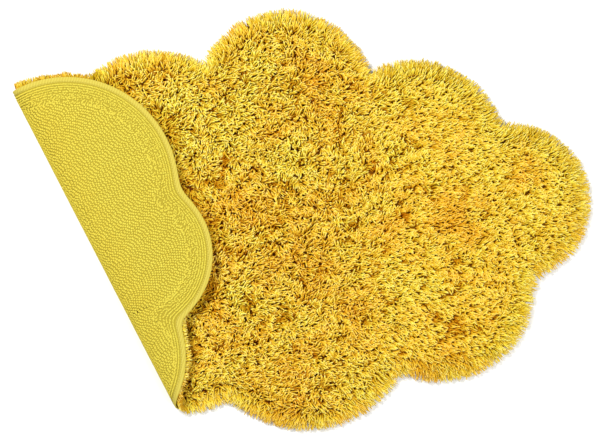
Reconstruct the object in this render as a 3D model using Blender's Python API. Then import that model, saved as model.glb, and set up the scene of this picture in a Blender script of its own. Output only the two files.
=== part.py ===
"""A cloud shaped shag rug, lying on a floor with its left end turned over.

Metres, +Z up. The rug's back lies on Z = 0 and the origin is the middle of what it covers. It is
modelled flat, in the cloth's own three measures: along, at right angles to the crease and growing
towards the turned end; side, along the crease; and height, from the back of the cloth into the pile.
Then every point is folded over by the crease's stations. The pile is one lumpy slab of cotton with
locks of yarn round its rim, and it stands 0.3 mm clear of the cloth.
"""

import math
from collections import namedtuple

import bmesh
import bpy
import numpy as np
from mathutils import Vector, noise
from mathutils.geometry import delaunay_2d_cdt

# The cloth and its crease.
CLOTH = 0.0025
CREASE_ANGLE = math.radians(207.3)  # the way from the middle of the rug to the crease
CREASE_DISTANCE = 0.3627  # from the origin to the outside of the crease
BEND_RADIUS = 0.023
BEND_STEPS = 12
FAR = 1.5  # past every edge of the rug

# The pile.
CLEARANCE = 0.0003
SPLAY = 0.015  # the locks reach this far past the cloth's edge
RIM_INSET = 0.005  # from the cloth's edge in to the outermost tufts
RIM_HEIGHT = 0.011
OPEN_HEIGHT = 0.0225
LUMP_HEIGHT = 0.0066
LUMP_SIZE = 0.032
TUFT_SIZE = 0.0071
SHOULDER = 0.032  # the pile reaches its full height this far in from its rim
LAYER_GAP = 0.0016  # between the two layers of pile under the turned end
LEAST_LOOP = 0.004  # radius left free inside the bend
TUFT_PITCH = 0.022
TUFT_JITTER = 0.0048
TUFT_TO_STATION = 0.010  # no tuft point stands closer to a station's line
TUFT_TO_RIM = 0.012
BEND_PITCH = 0.090  # a coarser pitch is enough along the inside of the bend
COVER_MARGIN = 0.024  # the pile stays pressed down this far past the turned end
COVER_RISE = 0.020

# The locks.
LOCK_PITCH = 0.0145
LOCK_SHARE = 0.80  # of the pitch, the rest is the space between two roots
LOCK_LENGTH = 0.0215
TURNED_LOCK_LENGTH = 0.0125
LENGTH_SPREAD = 0.16
SWAY = 0.001
COMB_LENGTH = 0.070  # the locks' directions are evened out over this much of the rim
COMB_SAMPLES = 15
COMB_STEP = 0.001
SEED = 11

# The cloth's edge.
EDGE_PITCH = 0.016
OUTLINE_STEPS = 3600
OUTLINE_ROUNDS = 80
OUTSIDE = 0.9  # a distance from the middle that is past every edge
LOBE_BLEND = 0.009  # how softly two lobes run into each other

Lobe = namedtuple("Lobe", "name x y radius lying turned")
LOBES = (
    Lobe("upper left", -0.444, 0.050, 0.220, True, True),
    Lobe("top left", -0.269, 0.141, 0.175, True, False),
    Lobe("top", -0.028, 0.220, 0.169, True, False),
    Lobe("top right", 0.210, 0.125, 0.173, True, False),
    Lobe("right", 0.390, 0.032, 0.149, True, False),
    Lobe("lower right", 0.257, -0.123, 0.178, True, False),
    Lobe("bottom", 0.009, -0.183, 0.207, True, False),
    Lobe("lower left", -0.217, -0.169, 0.1865, True, True),
    Lobe("turned end", -0.414, -0.121, 0.1605, False, True),
    Lobe("middle", -0.050, 0.030, 0.250, True, False),
)

FlapRow = namedtuple("FlapRow", "reach height")
FLAP_ROWS = (
    FlapRow(0.060, 0.0453),
    FlapRow(0.120, 0.0432),
    FlapRow(0.250, 0.0380),
)

Section = namedtuple("Section", "reach width low high")
LYING_LOCK = (
    Section(0.45, 0.86, 0.0034, 0.0098),
    Section(1.00, 0.45, 0.0000, 0.0036),
)
TURNED_LOCK = (
    Section(0.45, 0.86, 0.0045, 0.0125),
    Section(1.00, 0.45, 0.0122, 0.0156),
)

Finish = namedtuple("Finish", "name colour roughness")
WOVEN_BACK = Finish("woven cotton back", (0.74, 0.61, 0.075), 0.9)
COTTON_PILE = Finish("cotton shag pile", (0.62, 0.37, 0.034), 0.95)

TO_CREASE = np.array([math.cos(CREASE_ANGLE), math.sin(CREASE_ANGLE)])
BY_CREASE = np.array([-TO_CREASE[1], TO_CREASE[0]])
BEND_AXIS = CREASE_DISTANCE - BEND_RADIUS
BEND_LENGTH = math.pi * BEND_RADIUS
EXTRA = BEND_LENGTH - 2 * BEND_RADIUS  # cloth that the bend takes up

Station = namedtuple("Station", "along out up in_out in_up")


def flat_plan(x, y):
    """A place on the lying rug in the cloth's own measures (along, side)."""
    return np.array([x, y]) @ np.column_stack([TO_CREASE, BY_CREASE]) - (BEND_AXIS, 0.0)


MIDDLE = flat_plan(0.0, 0.0)


def clear_scene():
    for thing in list(bpy.data.objects):
        bpy.data.objects.remove(thing)


def fold_stations():
    """Lines across the cloth, in order: where its back lies there, and which way is into the pile."""
    rows = [Station(-FAR, -FAR, 0.0, 0.0, 1.0)]
    for k in range(BEND_STEPS + 1):
        turn = math.pi * k / BEND_STEPS
        out = BEND_RADIUS * math.sin(turn)
        up = BEND_RADIUS * (1 - math.cos(turn))
        rows.append(Station(turn * BEND_RADIUS, out, up, -math.sin(turn), math.cos(turn)))
    for row in FLAP_ROWS:
        rows.append(Station(BEND_LENGTH + row.reach, -row.reach, row.height, 0.0, -1.0))
    return rows


STATIONS = fold_stations()
STATION_TABLE = {name: np.array([getattr(row, name) for row in STATIONS]) for name in Station._fields}


def at_station(name, along):
    return np.interp(along, STATION_TABLE["along"], STATION_TABLE[name])


def folded(flat):
    """Carries flat points (along, side, height) to the folded rug, straight between stations."""
    along, side, height = np.asarray(flat, float).T
    out = at_station("out", along) + height * at_station("in_out", along)
    up = at_station("up", along) + height * at_station("in_up", along)
    plan = np.outer(BEND_AXIS + out, TO_CREASE) + np.outer(side, BY_CREASE)
    return np.column_stack([plan, up])


def smooth_step(value):
    value = np.clip(value, 0.0, 1.0)
    return value * value * (3 - 2 * value)


def turned_share(along):
    """0 on the lying part, 1 on the turned end, rising along the bend."""
    return smooth_step(np.asarray(along) / BEND_LENGTH)


def edge_distance(points, inset):
    """How far flat points (along, side) lie inside the cloud's edge, less than 0 outside.

    The cloud is a soft union of discs. A lobe that the crease runs across is drawn out by the cloth
    that the bend takes up, and one on the turned end is moved by it.
    """
    closeness = []
    for lobe in LOBES:
        centre = flat_plan(lobe.x, lobe.y)
        offset = points - centre
        first = 0.0 if lobe.lying else EXTRA
        last = EXTRA if lobe.turned else 0.0
        offset[:, 0] -= np.clip(offset[:, 0], first, last)
        closeness.append(lobe.radius - inset - np.linalg.norm(offset, axis=1))
    return LOBE_BLEND * np.log(np.sum(np.exp(np.array(closeness) / LOBE_BLEND), axis=0))


def outline(inset):
    """The cloud's edge, inset by that much: dense points (along, side) anticlockwise.

    Each ray from the rug's middle is followed inwards from far out, by the distance left to the edge
    each time, until it reaches it.
    """
    angle = np.linspace(0, 2 * math.pi, OUTLINE_STEPS, endpoint=False)
    way = np.column_stack([np.cos(angle), np.sin(angle)])
    reach = np.full(OUTLINE_STEPS, OUTSIDE)
    for _ in range(OUTLINE_ROUNDS):
        reach += edge_distance(MIDDLE + way * reach[:, None], inset)
    return MIDDLE + way * reach[:, None]


class Rim:
    """Corners round an outline, one at every station that it crosses."""

    def __init__(self, inset, pitch, share):
        self.inset = inset
        line = outline(inset)
        self.line = np.vstack([line, line[:1]])
        steps = np.linalg.norm(np.diff(self.line, axis=0), axis=1)
        self.travel = np.concatenate([[0], np.cumsum(steps)])
        stops = self.crossings()
        corners = []
        self.has_lock = []
        lock_next = True
        for here, there in zip(stops, stops[1:] + [stops[0] + self.travel[-1]]):
            length = there - here
            if length < pitch:
                corners.append(here)
                self.has_lock.append(lock_next)
                lock_next = not lock_next
                continue
            pairs = max(1, round(length / pitch))
            for k in range(pairs):
                corners.append(here + length * k / pairs)
                corners.append(here + length * (k + share) / pairs)
                self.has_lock += [True, False]
            lock_next = True
        self.places = np.array(corners) % self.travel[-1]
        self.points = self.at(self.places)
        self.snap_to_stations()

    def crossings(self):
        """Distances round the rim at which it meets a station's line."""
        stops = []
        for station in STATION_TABLE["along"]:
            side = self.line[:, 0] - station
            for i in np.nonzero(side[:-1] * side[1:] < 0)[0]:
                share = side[i] / (side[i] - side[i + 1])
                stops.append(float(self.travel[i] + share * (self.travel[i + 1] - self.travel[i])))
        return sorted(stops)

    def snap_to_stations(self):
        for station in STATION_TABLE["along"]:
            near = np.abs(self.points[:, 0] - station) < 1e-6
            self.points[near, 0] = station

    def at(self, place):
        place = np.asarray(place) % self.travel[-1]
        columns = [np.interp(place, self.travel, self.line[:, k]) for k in range(2)]
        return np.column_stack(columns)

    def outward(self, place):
        """Unit directions out of the rim, evened out so that locks in a notch don't cross."""
        offsets = np.linspace(-COMB_LENGTH / 2, COMB_LENGTH / 2, COMB_SAMPLES)
        ahead = np.array([self.at(place + offset + COMB_STEP) for offset in offsets])
        behind = np.array([self.at(place + offset - COMB_STEP) for offset in offsets])
        run = np.mean(ahead - behind, axis=0)
        run /= np.linalg.norm(run, axis=1)[:, None]
        return np.column_stack([run[:, 1], -run[:, 0]])

    def depth(self, points):
        """Distance in from the rim, less than 0 outside."""
        return edge_distance(np.asarray(points, float), self.inset)


def station_chains(rim, pitch_at):
    """Points along each station's line between its two corners, and the chain that joins them."""
    points, chains = [], []
    for station in STATION_TABLE["along"]:
        ends = np.nonzero(rim.points[:, 0] == station)[0]
        if len(ends) != 2:
            continue
        first, last = ends
        sides = rim.points[[first, last], 1]
        count = max(1, round(abs(sides[1] - sides[0]) / pitch_at(station)))
        chain = [int(first)]
        for k in range(1, count):
            chain.append(len(rim.points) + len(points))
            points.append((station, sides[0] + (sides[1] - sides[0]) * k / count))
        chain.append(int(last))
        chains += list(zip(chain, chain[1:]))
    return points, chains


def chain_pitch(station):
    """Tuft pitch on the lying and turned parts, coarser inside the bend."""
    step = BEND_LENGTH / BEND_STEPS
    return BEND_PITCH if step / 2 < station < BEND_LENGTH - step / 2 else TUFT_PITCH


def tuft_points(rim, random):
    """An uneven net of points over the rug, clear of the rim, the stations and the bend."""
    low, high = rim.line.min(axis=0), rim.line.max(axis=0)
    rows = np.arange(low[0], high[0], TUFT_PITCH * math.sqrt(3) / 2)
    points = []
    for i, along in enumerate(rows):
        start = low[1] + (i % 2) * TUFT_PITCH / 2
        points += [(along, side) for side in np.arange(start, high[1], TUFT_PITCH)]
    points = np.array(points) + random.uniform(-TUFT_JITTER, TUFT_JITTER, (len(points), 2))
    to_station = np.abs(points[:, :1] - STATION_TABLE["along"][None, :]).min(axis=1)
    in_bend = (points[:, 0] > 0) & (points[:, 0] < BEND_LENGTH)
    keep = (to_station > TUFT_TO_STATION) & ~in_bend & (rim.depth(points) > TUFT_TO_RIM)
    return [tuple(point) for point in points[keep]]


def unevenness(points, size):
    """Smooth noise over flat points, about -0.5 to 0.5, with lumps of about that size."""
    return np.array([noise.noise(Vector((along, side, 0.0)) / size) for along, side in points])


def pile_height(points, pile_rim, cloth_rim):
    """Height of the pile over the cloth's back at flat points.

    It is lumpy where it is open, half of the stack where the turned end covers it, and it comes down
    to the rim over a soft shoulder.
    """
    along, side = points.T
    lumps = unevenness(points, LUMP_SIZE)
    open_pile = OPEN_HEIGHT + LUMP_HEIGHT * (lumps + unevenness(points, TUFT_SIZE))
    over_it = np.where(along < 0, BEND_LENGTH - along, along)
    stack = at_station("up", np.maximum(over_it, BEND_LENGTH))
    pressed = (stack - LAYER_GAP) / 2 - np.abs(lumps) * LAYER_GAP / 2
    in_bend = (along >= 0) & (along <= BEND_LENGTH)
    pressed = np.where(in_bend, np.minimum(pressed, BEND_RADIUS - LEAST_LOOP), pressed)
    cover = cloth_rim.depth(np.column_stack([over_it, side]))
    covered = smooth_step((cover + COVER_MARGIN + COVER_RISE) / COVER_RISE)
    covered = np.where(along < 0, covered, 1.0)
    height = open_pile + (pressed - open_pile) * covered
    shoulder = smooth_step(pile_rim.depth(points) / SHOULDER)
    return RIM_HEIGHT + (height - RIM_HEIGHT) * shoulder


def flat_slab(mesh, rim, chain_points, chains, tufts, bottom, height_of):
    """A closed slab in flat measures, and its rim faces in order: bottom and top nets, then walls."""
    points = [tuple(p) for p in rim.points] + chain_points + tufts
    ring = list(range(len(rim.points)))
    plan, _, triangles, origin, _, _ = delaunay_2d_cdt(
        [Vector(p) for p in points], chains, [ring], 1, 1e-7
    )
    plan = np.array([points[came_from[0]] for came_from in origin])
    place = {came_from[0]: i for i, came_from in enumerate(origin)}
    heights = height_of(plan)
    under = [mesh.verts.new((a, s, bottom)) for a, s in plan]
    over = [mesh.verts.new((a, s, h)) for (a, s), h in zip(plan, heights)]
    for a, b, c in triangles:
        mesh.faces.new((over[a], over[b], over[c]))
        mesh.faces.new((under[c], under[b], under[a]))
    walls = []
    for here, there in zip(ring, ring[1:] + ring[:1]):
        a, b = place[here], place[there]
        walls.append(mesh.faces.new((under[a], under[b], over[b], over[a])))
    return walls


def lock_corners(roots, section, over, outward, lengths, sways, turned):
    """Each lock's four corners at one section, between the lying and the turned lock's heights."""
    aside = np.column_stack([-outward[:, 1], outward[:, 0]])
    step = outward * lengths[:, None] + aside * sways[:, None]
    centre = roots[:, :2, :2].mean(axis=1) + section.reach * step
    half = (roots[:, 1, :2] - roots[:, 0, :2]) / 2 * section.width
    corners = np.empty_like(roots)
    corners[:, :, :2] = centre[:, None, :] + half[:, None, :] * np.array([-1, 1, 1, -1])[:, None]
    corners[:, :2, 2] = (section.low + (over.low - section.low) * turned)[:, None]
    corners[:, 2:, 2] = (section.high + (over.high - section.high) * turned)[:, None]
    return corners


def draw_locks(mesh, rim, walls, random):
    """Draws each lock out of its wall face, in two sections that droop towards what it lies on."""
    locks = np.nonzero(rim.has_lock)[0]
    ends = np.append(rim.places[1:], rim.places[0] + rim.travel[-1])
    middles = (rim.places + ((ends - rim.places) % rim.travel[-1]) / 2)[locks]
    turned = turned_share(rim.at(middles)[:, 0])
    lengths = LOCK_LENGTH + (TURNED_LOCK_LENGTH - LOCK_LENGTH) * turned
    lengths *= 1 + LENGTH_SPREAD * random.uniform(-1, 1, len(locks))
    sways = SWAY * random.uniform(-1, 1, len(locks))
    faces = [walls[i] for i in locks]
    roots = np.array([[vert.co for vert in face.verts] for face in faces])
    before = roots
    for lying, over in zip(LYING_LOCK, TURNED_LOCK):
        faces = bmesh.ops.extrude_discrete_faces(mesh, faces=faces)["faces"]
        after = lock_corners(roots, lying, over, rim.outward(middles), lengths, sways, turned)
        for face in faces:
            for vert in face.verts:
                away = np.linalg.norm(before - np.array(vert.co), axis=2)
                vert.co = after[np.unravel_index(np.argmin(away), away.shape)]
        before = after


def finished(name, mesh, finish):
    """Folds the flat mesh over and puts it in the scene with its finish."""
    flat = np.array([vert.co for vert in mesh.verts])
    for vert, place in zip(mesh.verts, folded(flat)):
        vert.co = place
    data = bpy.data.meshes.new(name)
    mesh.to_mesh(data)
    mesh.free()
    data.shade_smooth()
    data.set_sharp_from_angle(angle=math.radians(40))
    material = bpy.data.materials.new(finish.name)
    material.use_nodes = True
    shader = material.node_tree.nodes["Principled BSDF"]
    shader.inputs["Base Color"].default_value = (*finish.colour, 1)
    shader.inputs["Roughness"].default_value = finish.roughness
    shader.inputs["Metallic"].default_value = 0
    data.materials.append(material)
    made = bpy.data.objects.new(name, data)
    bpy.context.scene.collection.objects.link(made)
    return made


def make_backing(cloth_rim):
    """The woven cotton cloth that the pile is tufted into, one sheet, folded over once."""
    mesh = bmesh.new()
    chain_points, chains = station_chains(cloth_rim, lambda station: FAR)
    flat_slab(mesh, cloth_rim, chain_points, chains, [], 0.0, lambda plan: np.full(len(plan), CLOTH))
    return finished("backing", mesh, WOVEN_BACK)


def make_pile(cloth_rim):
    """The shag: a lumpy slab on the inner face of the cloth, with locks round its rim."""
    random = np.random.default_rng(SEED)
    mesh = bmesh.new()
    rim = Rim(SPLAY + RIM_INSET, LOCK_PITCH, LOCK_SHARE)
    chain_points, chains = station_chains(rim, chain_pitch)
    walls = flat_slab(
        mesh, rim, chain_points, chains, tuft_points(rim, random), CLOTH + CLEARANCE,
        lambda plan: pile_height(plan, rim, cloth_rim),
    )
    draw_locks(mesh, rim, walls, random)
    return finished("pile", mesh, COTTON_PILE)


def main():
    clear_scene()
    cloth_rim = Rim(SPLAY, EDGE_PITCH, 0.5)
    make_backing(cloth_rim)
    make_pile(cloth_rim)


main()
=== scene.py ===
"""A cloud shaped shag rug with its left end turned over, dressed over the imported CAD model.

Metres, +Z up, in the CAD model's frame. Every piece is worked out flat first, in the cloth's own three
measures: along, at right angles to the crease and growing towards the turned end; side, along the
crease; and height, from the back of the cloth into the pile. Then it is folded over the crease.
"""

import math
from collections import namedtuple

import bpy
import numpy as np
from bpy.props import FloatProperty, FloatVectorProperty, IntProperty, PointerProperty
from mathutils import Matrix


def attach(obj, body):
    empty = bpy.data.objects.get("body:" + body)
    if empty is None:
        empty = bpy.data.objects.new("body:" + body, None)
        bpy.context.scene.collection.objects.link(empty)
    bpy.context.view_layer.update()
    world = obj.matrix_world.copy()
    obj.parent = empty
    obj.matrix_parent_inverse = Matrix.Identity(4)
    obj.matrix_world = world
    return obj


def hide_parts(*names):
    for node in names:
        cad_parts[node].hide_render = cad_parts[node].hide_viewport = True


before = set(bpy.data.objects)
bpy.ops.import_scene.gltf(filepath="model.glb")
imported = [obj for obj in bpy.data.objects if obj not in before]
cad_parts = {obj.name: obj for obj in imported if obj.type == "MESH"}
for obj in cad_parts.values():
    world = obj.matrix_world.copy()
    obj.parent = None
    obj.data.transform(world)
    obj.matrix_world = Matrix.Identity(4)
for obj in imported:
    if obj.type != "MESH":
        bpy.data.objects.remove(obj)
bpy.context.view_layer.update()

bl_info = {
    "name": "Cloud Shag Rug",
    "version": (1, 0, 0),
    "blender": (4, 5, 0),
    "location": "View3D > Sidebar > Rug",
    "description": "A cloud shaped cotton shag rug with one end turned over",
    "category": "Add Mesh",
}

# The outline and the fold, as in the CAD source.
CLOTH = 0.0025
CREASE_ANGLE = math.radians(207.3)
CREASE_DISTANCE = 0.3627
BEND_RADIUS = 0.023
BEND_LENGTH = math.pi * BEND_RADIUS
BEND_AXIS = CREASE_DISTANCE - BEND_RADIUS
EXTRA = BEND_LENGTH - 2 * BEND_RADIUS  # cloth that the bend takes up
SPLAY = 0.015  # the pile reaches this far past the cloth's edge
RIM_INSET = 0.005  # from the cloth's edge in to the outermost tufts
SAG = 0.008  # the turned end comes down by this much
SAG_REACH = 0.25
SAG_POWER = 1.6
LOBE_BLEND = 0.009  # how softly the lobes run into each other
OUTSIDE = 0.9  # a ray starts this far out
OUTLINE_ROUNDS = 80  # steps that bring it to the edge
TO_CREASE = np.array([math.cos(CREASE_ANGLE), math.sin(CREASE_ANGLE)])
BY_CREASE = np.array([-TO_CREASE[1], TO_CREASE[0]])
PLAN_TO_FLAT = np.column_stack([TO_CREASE, BY_CREASE])

Lobe = namedtuple("Lobe", "x y radius lying turned")
LOBES = (
    Lobe(-0.444, 0.050, 0.220, True, True),
    Lobe(-0.269, 0.141, 0.175, True, False),
    Lobe(-0.028, 0.220, 0.169, True, False),
    Lobe(0.210, 0.125, 0.173, True, False),
    Lobe(0.390, 0.032, 0.149, True, False),
    Lobe(0.257, -0.123, 0.178, True, False),
    Lobe(0.009, -0.183, 0.207, True, False),
    Lobe(-0.217, -0.169, 0.1865, True, True),
    Lobe(-0.414, -0.121, 0.1605, False, True),
    Lobe(-0.050, 0.030, 0.250, True, False),
)

# The pile's form.
OPEN_HEIGHT = 0.0225
LUMP_HEIGHT = 0.0036
RIM_HEIGHT = 0.003
SHOULDER = 0.055  # the pile comes down to its rim over this width
IN_BEND = 0.019  # the pile's height inside the bend
LAYER_GAP = 0.0016  # between the two layers of pile
COVER_MARGIN = 0.024  # pressed down from this far outside the turned end's edge
COVER_RISE = 0.020
TROUGH_DEPTH = 0.015  # of the trough along the turned end's edge
TROUGH_WIDTH = 0.018
CLOSER_FROM = -0.02  # from here to the right the pile grows closer
CLOSER_WIDTH = 0.25
CLOTH_WAVE = 0.0002  # the turned cloth is uneven by this much
CLOTH_WAVE_SIZE = 0.045

# The yarn's colours and the noise.
HUES = 12  # of the yarn, from orange to lemon
# LIGHTS are steps of painted light and shade for the strands, darker low in the pile; for stitches a
# random tone
LIGHTS = 4  # each hue from dark to light
SHADES = HUES * LIGHTS  # one column each in the yarn's UV map
LATTICE = 128  # values each way before the noise repeats
SEED = 7


def linear(code):
    """An sRGB hex colour such as "#e3c94a" turned linear, with an alpha of 1."""
    part = [int(code[i:i + 2], 16) / 255 for i in (1, 3, 5)]
    part = [c / 12.92 if c <= 0.04045 else ((c + 0.055) / 1.055) ** 2.4 for c in part]
    return (*part, 1.0)


def a_length(name, description, default, **limits):
    """A setting in metres."""
    return FloatProperty(
        name=name, description=description, default=default, unit="LENGTH", precision=4, **limits,
    )


def a_number(name, description, default, **more):
    """A setting that is a plain number, a share or a power."""
    return FloatProperty(name=name, description=description, default=default, **more)


def a_colour(name, description, code):
    """A setting that is a colour, from its sRGB hex value."""
    return FloatVectorProperty(
        name=name, description=description, default=linear(code), size=4, min=0, max=1, subtype="COLOR",
    )


def smooth_step(value):
    """0 below 0, 1 above 1, and 3 v^2 - 2 v^3 between."""
    value = np.clip(value, 0.0, 1.0)
    return value * value * (3 - 2 * value)


def blend(low, high, share):
    """From low at a share of 0 to high at a share of 1, in a straight line."""
    return low + (high - low) * share


def unit(ways):
    """Flat directions brought to a length of 1."""
    return ways / np.linalg.norm(ways, axis=1)[:, None]


def near_place(ground, place, start, size):
    """1 close to a place seen from above and 0 away from it: start less the distance over size."""
    return smooth_step(start - np.linalg.norm(ground - place, axis=1) / size)


def square_net(along, side):
    """Flat points at all those measures along and aside, as (along, side, 2)."""
    return np.stack(np.meshgrid(along, side, indexing="ij"), axis=-1)


def flat_plan(x, y):
    """A place on the lying rug in the cloth's own measures (along, side)."""
    return np.array([x, y]) @ PLAN_TO_FLAT - (BEND_AXIS, 0.0)


MIDDLE = flat_plan(0.0, 0.0)


def folded(flat):
    """Folds flat points (along, side, height) over the crease.

    Up to the crease a point stays where it is. Round the bend it turns about an axis one bend radius
    up, by its travel along divided by that radius. Past the bend it runs back over the rug, upside
    down, and the cloth sags by SAG times (travel / SAG_REACH) to the power SAG_POWER.
    """
    along, side, height = np.moveaxis(np.asarray(flat, float), -1, 0)
    turn = np.clip(along / BEND_RADIUS, 0, math.pi)
    past = np.maximum(along - BEND_LENGTH, 0)
    out = np.minimum(along, 0) + (BEND_RADIUS - height) * np.sin(turn) - past
    up = BEND_RADIUS - (BEND_RADIUS - height) * np.cos(turn)
    up = up - SAG * (past / SAG_REACH) ** SAG_POWER
    plan = (BEND_AXIS + out)[..., None] * TO_CREASE + side[..., None] * BY_CREASE
    return np.concatenate([plan, up[..., None]], axis=-1)


def turned_share(along):
    """0 on the lying part, 1 on the turned end, rising along the bend."""
    return smooth_step(np.asarray(along) / BEND_LENGTH)


def edge_distance(points, inset, softness=LOBE_BLEND):
    """How far flat points (along, side) lie inside the cloud's edge, less than 0 outside.

    A soft union of discs: softness times the logarithm of the sum of each disc's own distance inside,
    over softness, raised as an exponential. A disc that the crease runs across is drawn out by EXTRA.
    """
    points = np.asarray(points, float)
    closeness = []
    for lobe in LOBES:
        offset = points - flat_plan(lobe.x, lobe.y)
        first = 0.0 if lobe.lying else EXTRA
        last = EXTRA if lobe.turned else 0.0
        drawn = offset[..., 0] - np.clip(offset[..., 0], first, last)
        closeness.append(lobe.radius - inset - np.hypot(drawn, offset[..., 1]))
    closeness = np.array(closeness)
    most = closeness.max(axis=0)
    return most + softness * np.log(np.exp((closeness - most) / softness).sum(axis=0))


def ray_ways(rays):
    """Unit flat directions all round, evenly spaced."""
    angle = np.linspace(0, 2 * math.pi, rays, endpoint=False)
    return np.column_stack([np.cos(angle), np.sin(angle)])


def edge_reach(way, inset):
    """How far from the middle each ray meets the cloud's edge at that inset, followed inwards."""
    reach = np.full(len(way), OUTSIDE)
    for _ in range(OUTLINE_ROUNDS):
        reach += edge_distance(MIDDLE + way * reach[:, None], inset)
    return reach


def edge_line(inset, rays=1440):
    """The cloth's edge at that inset as a closed line of flat points, and its length so far.

    It starts and ends on the lying part.
    """
    way = -ray_ways(rays)
    line = MIDDLE + way * edge_reach(way, SPLAY + inset)[:, None]
    line = np.vstack([line, line[:1]])
    travel = np.concatenate([[0], np.cumsum(np.linalg.norm(np.diff(line, axis=0), axis=1))])
    return line, travel


def net_value(net, points, start, size):
    """The value at flat points of a net of numbers of that start and size, blended between its knots."""
    cell = np.clip((np.asarray(points) - start) / size, 0, np.array(net.shape) - 1.001)
    low = np.floor(cell).astype(int)
    share = cell - low
    i, j = low[..., 0], low[..., 1]
    first = blend(net[i, j], net[i + 1, j], share[..., 0])
    second = blend(net[i, j + 1], net[i + 1, j + 1], share[..., 0])
    return blend(first, second, share[..., 1])


def make_depth_net():
    """True distances inside the pile's edge on a square net: to the nearest of the edge's points."""
    along = np.arange(NET_START[0], NET_END[0], NET_SIZE)
    side = np.arange(NET_START[1], NET_END[1], NET_SIZE)
    net = square_net(along, side)
    line = edge_line(-SPLAY, 480)[0][:-1].astype(np.float32)
    flat = net.reshape(-1, 2).astype(np.float32)
    away = np.hypot(flat[:, :1] - line[:, 0], flat[:, 1:] - line[:, 1]).min(axis=1)
    return away.reshape(net.shape[:2]) * np.sign(edge_distance(net, 0.0))


NET_START = np.array([-1.0, -0.52])
NET_END = np.array([0.34, 0.52])
NET_SIZE = 0.005
DEPTH_NET = make_depth_net()


def pile_depth(points):
    """How far flat points lie inside the pile's edge."""
    return net_value(DEPTH_NET, points, NET_START, NET_SIZE)


def outward_way(points):
    """The unit direction out of the cloud at flat points: down the slope of the depth."""
    step = 0.006
    slope = [
        pile_depth(points - move) - pile_depth(points + move)
        for move in (np.array([step, 0.0]), np.array([0.0, step]))
    ]
    way = np.stack(slope, axis=-1)
    return way / np.maximum(np.linalg.norm(way, axis=-1, keepdims=True), 1e-9)


def disc_rings(rays, counts, insets):
    """Rings of flat points from near the middle to the cloud's edge, as (ring, ray, 2).

    Along each ray the first rings run to the bend, the next across it and the rest out to the first
    inset; the last rings follow the edge at each inset.
    """
    way = ray_ways(rays)
    edges = [edge_reach(way, inset) for inset in insets]
    to_bend = np.maximum(way[:, 0], 1e-6)
    # Rays that run beside the bend or away from it take a half and three quarters of their length.
    start = np.minimum(-MIDDLE[0] / to_bend, 0.50 * edges[0])
    end = np.minimum((BEND_LENGTH - MIDDLE[0]) / to_bend, 0.75 * edges[0])
    stops = [np.zeros(rays), start, end, edges[0]]
    reach = []
    for here, there, count in zip(stops, stops[1:], counts):
        share = (np.arange(count) + 1)[:, None] / count
        reach.append(blend(here, there, share))
    reach = np.vstack(reach + [np.array(edges[1:])])
    return MIDDLE + reach[..., None] * way


def lattice_noise(points, size, seed):
    """Smooth noise from -1 to 1: random values on a square lattice, joined by smooth steps."""
    values = np.random.default_rng(seed).uniform(-1, 1, (LATTICE, LATTICE))
    cell = np.asarray(points) / size
    low = np.floor(cell).astype(int)
    share = smooth_step(cell - low)
    i, j = low[..., 0] % LATTICE, low[..., 1] % LATTICE
    k, m = (i + 1) % LATTICE, (j + 1) % LATTICE
    first = blend(values[i, j], values[k, j], share[..., 0])
    second = blend(values[i, m], values[k, m], share[..., 0])
    return blend(first, second, share[..., 1])


def nearest_clump(points, pitch, seed):
    """Each point's nearest centre on an uneven square net, and two random numbers of that centre."""
    random = np.random.default_rng(seed)
    shift = random.uniform(0.1, 0.9, (LATTICE, LATTICE, 2))
    number = random.normal(0, 1, (LATTICE, LATTICE, 2))
    cell = np.floor(points / pitch).astype(int)
    best = np.full(len(points), np.inf)
    centre = np.zeros_like(points)
    own = np.zeros_like(points)
    for step in np.ndindex(3, 3):
        home = cell + np.array(step) - 1
        i, j = home[:, 0] % LATTICE, home[:, 1] % LATTICE
        place = (home + shift[i, j]) * pitch
        away = np.linalg.norm(points - place, axis=1)
        closer = away < best
        best = np.where(closer, away, best)
        centre[closer] = place[closer]
        own[closer] = number[i, j][closer]
    return centre, own


def floor_places(flat):
    """Where flat points (along, side) of the cloth's back come to lie, seen from above."""
    return folded(np.concatenate([flat, np.zeros_like(flat[..., :1])], axis=-1))[..., :2]


def over_lying(along):
    """Where the turned end lies over a place on the lying part, and the other way round."""
    return np.where(along < 0, BEND_LENGTH - along, along)


def flap_cover(flat):
    """How far inside the turned end's edge flat points (along, side) lie, seen from above."""
    return edge_distance(np.stack([over_lying(flat[..., 0]), flat[..., 1]], axis=-1), SPLAY)


def cloth_wave(places):
    """How far the turned cloth stands up or down at flat points."""
    return CLOTH_WAVE * lattice_noise(places, CLOTH_WAVE_SIZE, seed=21)


def right_share(ground):
    """0 at the middle and 1 at the right of the rug, for places seen from above."""
    return smooth_step((ground[..., 0] - 0.02) / 0.30)


def closer_share(ground):
    """0 at the left and 1 at the right, where the pile is closer and its top more even."""
    return smooth_step((ground[..., 0] - CLOSER_FROM) / CLOSER_WIDTH)


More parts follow.
